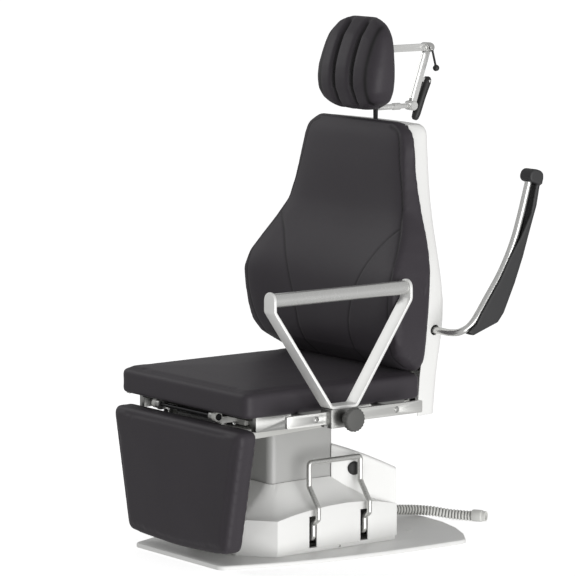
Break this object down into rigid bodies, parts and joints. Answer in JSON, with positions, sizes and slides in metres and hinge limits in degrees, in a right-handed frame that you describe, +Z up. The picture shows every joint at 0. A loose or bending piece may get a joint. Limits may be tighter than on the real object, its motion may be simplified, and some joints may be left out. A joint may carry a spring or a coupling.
{
  "type": "ear nose and throat examination chair",
  "caption": "Examination chair on a lift column with a swivel seat, hinged leg rest, reclining back, swing armrests, clamped loop armrest and jointed headrest.",
  "frame": {"origin": "underside of the floor plate, on the axis of the lift column and seat swivel", "axes": "+Z up, the patient faces -Y, +X is the patient's left"},
  "size_m": [0.8275, 0.9619, 1.3715],
  "materials": {
    "white_lacquer": "satin",
    "white_moulding": "satin",
    "upholstery": "satin",
    "satin_steel": "satin",
    "bright_steel": "polished",
    "grey_paint": "satin",
    "cast_aluminium": "satin",
    "satin_aluminium": "satin",
    "black_plastic": "matte",
    "dark_foam": "matte",
    "grey_plastic": "satin",
    "plywood": "matte",
    "hose_plastic": "satin"
  },
  "bodies": {
    "base": {"floor_plate": "white_lacquer", "plinth_frame": "white_moulding", "base_cover": "white_moulding", "side_port_grommet": "black_plastic", "column_lower_stage": "satin_aluminium", "lower_glide_ring": "black_plastic", "lift_actuator": "cast_aluminium", "lift_motor": "black_plastic", "foot_rail_bracket_left": "grey_paint", "foot_rail_bracket_right": "grey_paint", "hose_gland": "black_plastic", "ribbed_hose": "hose_plastic", "hose_cuff": "black_plastic"},
    "lift": {"column_cover": "white_moulding", "column_head": "cast_aluminium", "lift_rod": "bright_steel", "swivel_race_lower": "bright_steel"},
    "column_middle": {"column_middle_stage": "satin_aluminium", "upper_glide_ring": "black_plastic"},
    "seat": {"swivel_race_upper": "bright_steel", "seat_carrier": "cast_aluminium", "seat_frame": "cast_aluminium", "seat_board": "plywood", "seat_cushion": "upholstery", "side_rail_left": "satin_steel", "side_rail_right": "satin_steel", "leg_rest_bracket_left": "grey_paint", "leg_rest_bracket_right": "grey_paint", "leg_rest_shaft": "bright_steel", "leg_rest_drive": "black_plastic", "recline_bracket_left": "grey_paint", "recline_bracket_right": "grey_paint", "recline_shaft": "bright_steel", "recline_drive": "black_plastic"},
    "leg_rest": {"leg_rest_pad": "upholstery", "leg_rest_frame": "cast_aluminium"},
    "backrest": {"backrest_cushion": "upholstery", "backrest_board": "plywood", "backrest_shell": "white_moulding", "recline_yoke": "satin_steel", "armrest_bearing_left": "black_plastic", "armrest_bearing_right": "black_plastic", "headrest_guide": "black_plastic"},
    "swing_armrest_left": {"armrest_tube_left": "satin_aluminium", "armrest_pad_left": "dark_foam"},
    "swing_armrest_right": {"armrest_tube_right": "satin_aluminium", "armrest_pad_right": "dark_foam"},
    "loop_armrest": {"rail_clamp": "cast_aluminium", "loop_strap": "satin_aluminium", "loop_grip_tube": "satin_aluminium"},
    "knob": {"clamp_knob": "grey_plastic"},
    "post": {"headrest_post": "bright_steel"},
    "link": {"headrest_link": "bright_steel"},
    "headrest": {"headrest_bar": "bright_steel", "headrest_pad": "upholstery"},
    "lever": {"clamp_lever": "black_plastic"},
    "handle": {"release_handle": "black_plastic"},
    "foot_rail_left_body": {"foot_rail_left": "satin_aluminium"},
    "foot_rail_right_body": {"foot_rail_right": "satin_aluminium"}
  },
  "joints": [
    {"name": "seat_lift", "type": "slide", "parent": "base", "child": "lift", "axis": [0, 0, 1], "range_m": [0, 0.25]},
    {"name": "column_slide", "type": "slide", "parent": "lift", "child": "column_middle", "axis": [0, 0, 1], "range_m": [-0.125, 0]},
    {"name": "seat_swivel", "type": "hinge", "parent": "lift", "child": "seat", "pos_m": [0, 0, 0.3396], "axis": [0, 0, 1], "range_deg": [-90, 90]},
    {"name": "leg_rest_hinge", "type": "hinge", "parent": "seat", "child": "leg_rest", "pos_m": [0, -0.282, 0.385], "axis": [-1, 0, 0], "range_deg": [0, 90]},
    {"name": "backrest_hinge", "type": "hinge", "parent": "seat", "child": "backrest", "pos_m": [0, 0.285, 0.385], "axis": [-1, 0, 0], "range_deg": [0, 80]},
    {"name": "armrest_left_hinge", "type": "hinge", "parent": "backrest", "child": "swing_armrest_left", "pos_m": [0.236, 0.308, 0.573], "axis": [1, 0, 0], "range_deg": [0, 115]},
    {"name": "armrest_right_hinge", "type": "hinge", "parent": "backrest", "child": "swing_armrest_right", "pos_m": [-0.236, 0.308, 0.573], "axis": [1, 0, 0], "range_deg": [0, 115]},
    {"name": "clamp_slide", "type": "slide", "parent": "seat", "child": "loop_armrest", "axis": [0, 1, 0], "range_m": [-0.025, 0.1]},
    {"name": "knob_turn", "type": "hinge", "parent": "loop_armrest", "child": "knob", "pos_m": [0.342, -0.05595, 0.392], "axis": [1, 0, 0], "continuous": true},
    {"name": "headrest_height", "type": "slide", "parent": "backrest", "child": "post", "axis": [0, 0, 1], "range_m": [0, 0.12]},
    {"name": "headrest_lower_hinge", "type": "hinge", "parent": "post", "child": "link", "pos_m": [0, 0.453, 1.129], "axis": [-1, 0, 0], "range_deg": [0, 40]},
    {"name": "headrest_upper_hinge", "type": "hinge", "parent": "link", "child": "headrest", "pos_m": [0, 0.507, 1.282], "axis": [-1, 0, 0], "range_deg": [0, 45]},
    {"name": "lever_turn", "type": "hinge", "parent": "link", "child": "lever", "pos_m": [0, 0.507, 1.282], "axis": [1, 0, 0], "range_deg": [-60, 60]},
    {"name": "handle_hinge", "type": "hinge", "parent": "link", "child": "handle", "pos_m": [0, 0.505, 1.192], "axis": [1, 0, 0], "range_deg": [0, 25], "stiffness_Nm_per_rad": 0.8, "springref_deg": -8.59},
    {"name": "foot_rail_left_hinge", "type": "hinge", "parent": "base", "child": "foot_rail_left_body", "pos_m": [0.126, 0, 0.05], "axis": [0, 1, 0], "range_deg": [0, 12], "stiffness_Nm_per_rad": 20, "springref_deg": -5.73},
    {"name": "foot_rail_right_hinge", "type": "hinge", "parent": "base", "child": "foot_rail_right_body", "pos_m": [-0.126, 0, 0.05], "axis": [0, -1, 0], "range_deg": [0, 12], "stiffness_Nm_per_rad": 20, "springref_deg": -5.73}
  ],
  "couplings": [
    {"joint": "column_slide", "follows": "seat_lift", "ratio": -0.5}
  ]
}
